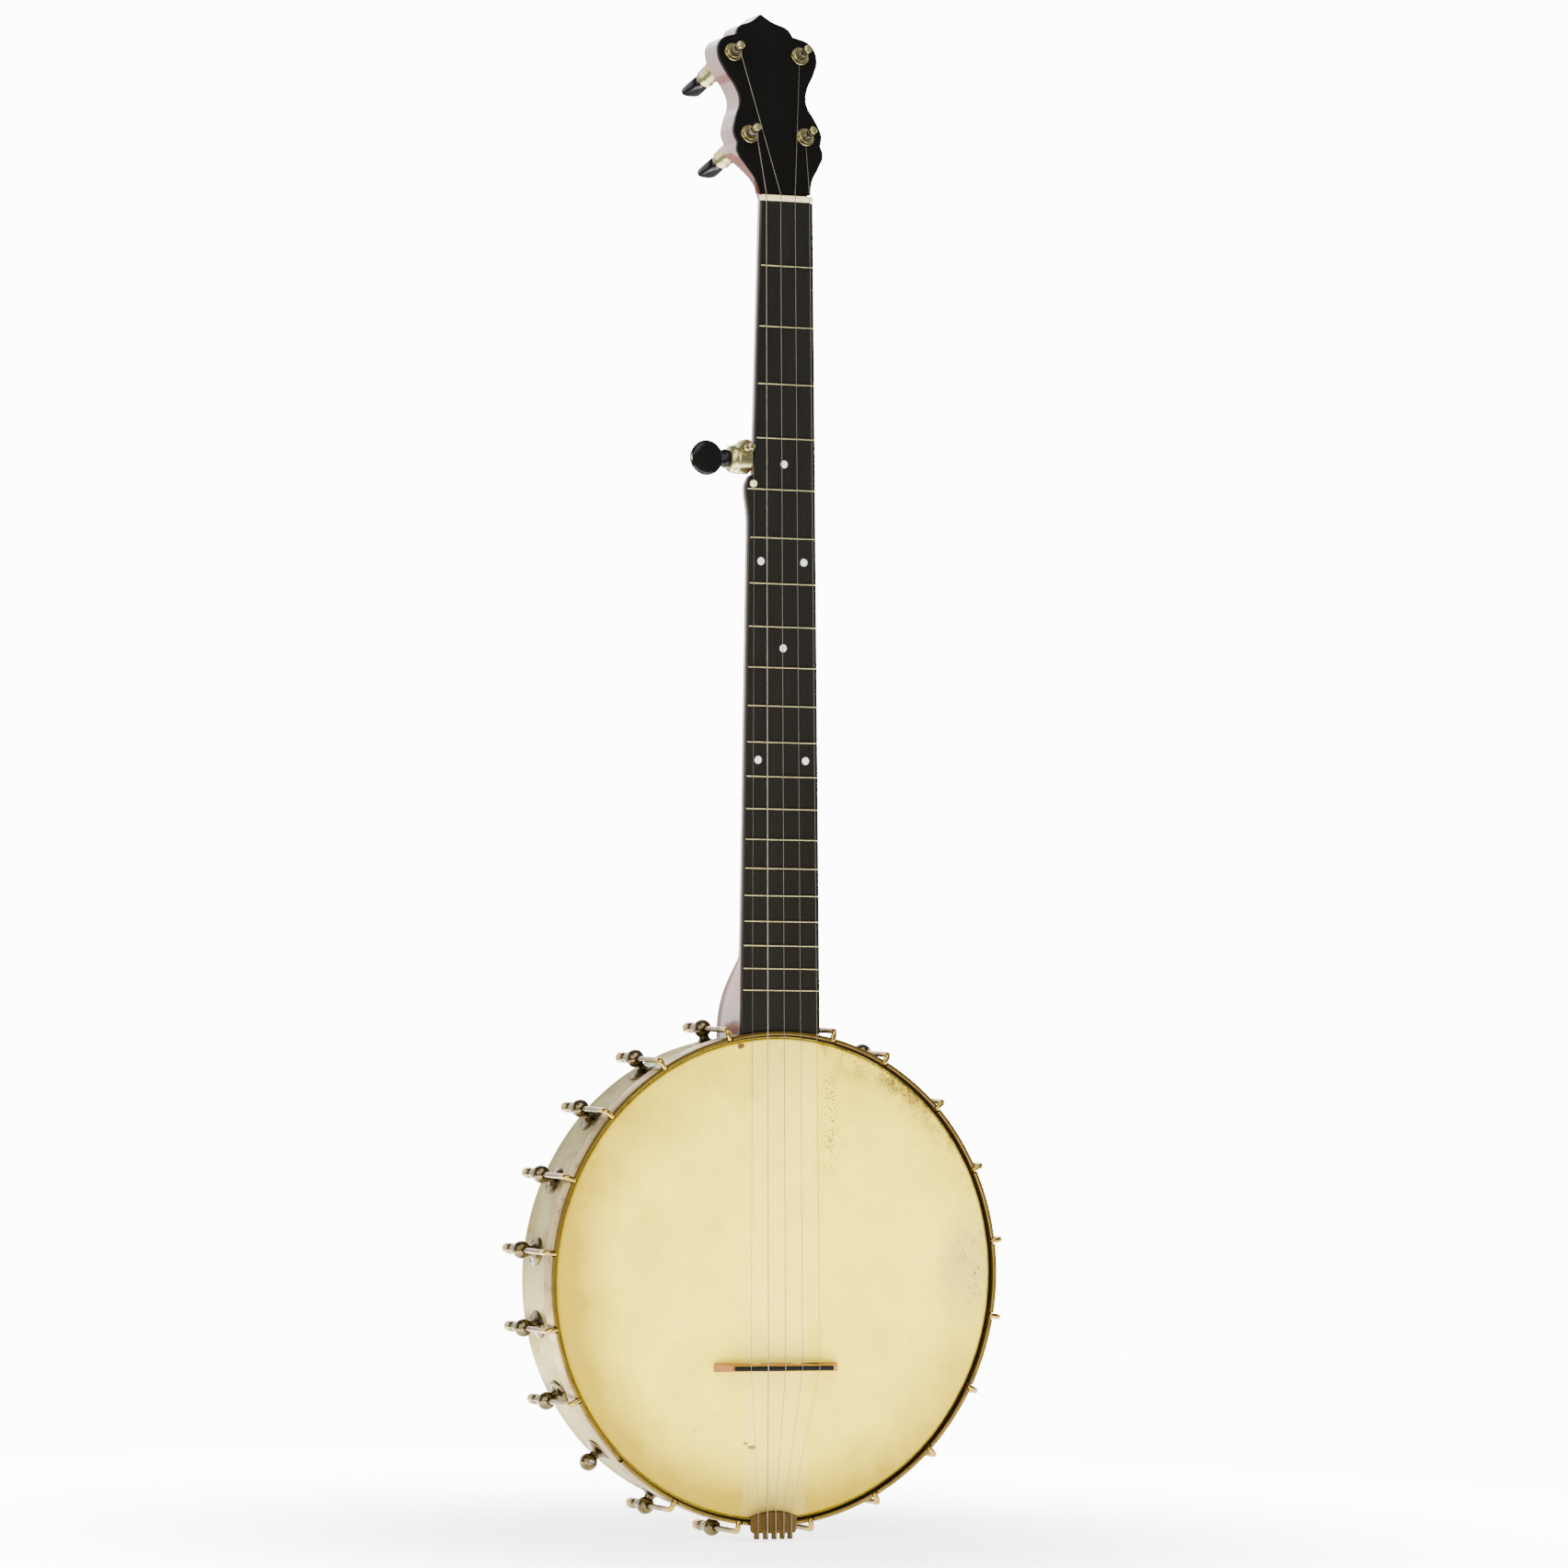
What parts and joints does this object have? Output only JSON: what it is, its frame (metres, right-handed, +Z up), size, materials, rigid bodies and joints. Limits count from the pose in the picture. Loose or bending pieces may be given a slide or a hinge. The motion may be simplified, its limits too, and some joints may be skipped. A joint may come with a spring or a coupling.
{
  "type": "open-back banjo",
  "caption": "Long-necked stringed instrument with a round open-backed drum body, a metal-clad rim, hooks round a tension hoop, a fretted neck and geared tuning pegs.",
  "frame": {"origin": "under the middle of the pot, where a stand's cradle carries its lowest hardware", "axes": "+Z up towards the peghead, -Y out of the drum head towards the player's audience, +X to the right seen from the front; the pot's axis is parallel to Y and the neck leans back 2.3 degrees"},
  "size_m": [0.3051, 0.1234, 0.8945],
  "materials": {
    "nickel_plate": "worn nickel plate with brassy stains",
    "gilt_brass": "aged brass with brown tarnish",
    "bronze_plate": "brown worn plate",
    "string_steel": "plain drawn wire",
    "mahogany": "gloss lacquer over reddish brown wood",
    "maple": "satin, pinkish brown",
    "ebony": "black, softly polished",
    "bone": "polished bone",
    "skin": "cream drum skin, mottled and stained",
    "black_button": "gloss black"
  },
  "bodies": {
    "banjo": {"rim_shell": "nickel_plate", "rim_wood": "maple", "head": "skin", "flesh_hoop": "gilt_brass", "tension_hoop": "gilt_brass", "hook_01": "gilt_brass", "hook_02": "gilt_brass", "hook_03": "gilt_brass", "hook_04": "gilt_brass", "hook_05": "gilt_brass", "hook_06": "gilt_brass", "hook_07": "gilt_brass", "hook_08": "gilt_brass", "hook_09": "gilt_brass", "hook_10": "gilt_brass", "hook_11": "gilt_brass", "hook_12": "gilt_brass", "hook_14": "gilt_brass", "hook_15": "gilt_brass", "hook_16": "gilt_brass", "hook_17": "gilt_brass", "hook_18": "gilt_brass", "hook_19": "gilt_brass", "hook_20": "gilt_brass", "neck": "mahogany", "fingerboard": "ebony", "peghead_overlay": "ebony", "nut": "bone", "fifth_string_pip": "bone", "dowel_stick": "maple", "neck_brace": "nickel_plate", "tailpiece": "bronze_plate", "end_bolt": "nickel_plate", "bridge_base": "maple", "bridge_cap": "ebony", "string_1": "string_steel", "string_2": "string_steel", "string_3": "string_steel", "string_4": "string_steel", "string_5": "string_steel", "tuner_housing_1": "nickel_plate", "tuner_housing_2": "nickel_plate", "tuner_housing_3": "nickel_plate", "tuner_housing_4": "nickel_plate", "tuner_nut_1": "nickel_plate", "tuner_nut_2": "nickel_plate", "tuner_nut_3": "nickel_plate", "tuner_nut_4": "nickel_plate", "fifth_peg_housing": "nickel_plate"},
    "post_1": {"tuner_post_1": "nickel_plate"},
    "button_1": {"tuner_button_1": "black_button"},
    "post_2": {"tuner_post_2": "nickel_plate"},
    "button_2": {"tuner_button_2": "black_button"},
    "post_3": {"tuner_post_3": "nickel_plate"},
    "button_3": {"tuner_button_3": "black_button"},
    "post_4": {"tuner_post_4": "nickel_plate"},
    "button_4": {"tuner_button_4": "black_button"},
    "fifth_button": {"fifth_peg_button": "black_button"},
    "fifth_post": {"fifth_peg_post": "nickel_plate"}
  },
  "joints": [
    {"name": "button_1_turn", "type": "hinge", "parent": "banjo", "child": "button_1", "pos_m": [0.021, 0.04435, 0.80819], "axis": [0, 0.9466, -0.3223], "continuous": true},
    {"name": "post_1_turn", "type": "hinge", "parent": "banjo", "child": "post_1", "pos_m": [0.021, 0.00762, 0.8207], "axis": [0, 0.9466, -0.3223], "continuous": true},
    {"name": "button_2_turn", "type": "hinge", "parent": "banjo", "child": "button_2", "pos_m": [0.0246, 0.06104, 0.85723], "axis": [0, 0.9466, -0.3223], "continuous": true},
    {"name": "post_2_turn", "type": "hinge", "parent": "banjo", "child": "post_2", "pos_m": [0.0246, 0.02431, 0.86974], "axis": [0, 0.9466, -0.3223], "continuous": true},
    {"name": "button_3_turn", "type": "hinge", "parent": "banjo", "child": "button_3", "pos_m": [-0.019, 0.06104, 0.85723], "axis": [0, 0.9466, -0.3223], "continuous": true},
    {"name": "post_3_turn", "type": "hinge", "parent": "banjo", "child": "post_3", "pos_m": [-0.019, 0.02431, 0.86974], "axis": [0, 0.9466, -0.3223], "continuous": true},
    {"name": "button_4_turn", "type": "hinge", "parent": "banjo", "child": "button_4", "pos_m": [-0.0154, 0.04435, 0.80819], "axis": [0, 0.9466, -0.3223], "continuous": true},
    {"name": "post_4_turn", "type": "hinge", "parent": "banjo", "child": "post_4", "pos_m": [-0.0154, 0.00762, 0.8207], "axis": [0, 0.9466, -0.3223], "continuous": true},
    {"name": "fifth_button_turn", "type": "hinge", "parent": "banjo", "child": "fifth_button", "pos_m": [-0.0309, -0.00462, 0.62987], "axis": [-1, 0, 0], "continuous": true},
    {"name": "fifth_post_turn", "type": "hinge", "parent": "banjo", "child": "fifth_post", "pos_m": [-0.02336, -0.01386, 0.63644], "axis": [0, 0.9992, -0.0401], "continuous": true}
  ],
  "couplings": [
    {"joint": "post_1_turn", "follows": "button_1_turn", "ratio": 0.25},
    {"joint": "post_2_turn", "follows": "button_2_turn", "ratio": 0.25},
    {"joint": "post_3_turn", "follows": "button_3_turn", "ratio": 0.25},
    {"joint": "post_4_turn", "follows": "button_4_turn", "ratio": 0.25},
    {"joint": "fifth_post_turn", "follows": "fifth_button_turn", "ratio": -0.083333}
  ]
}
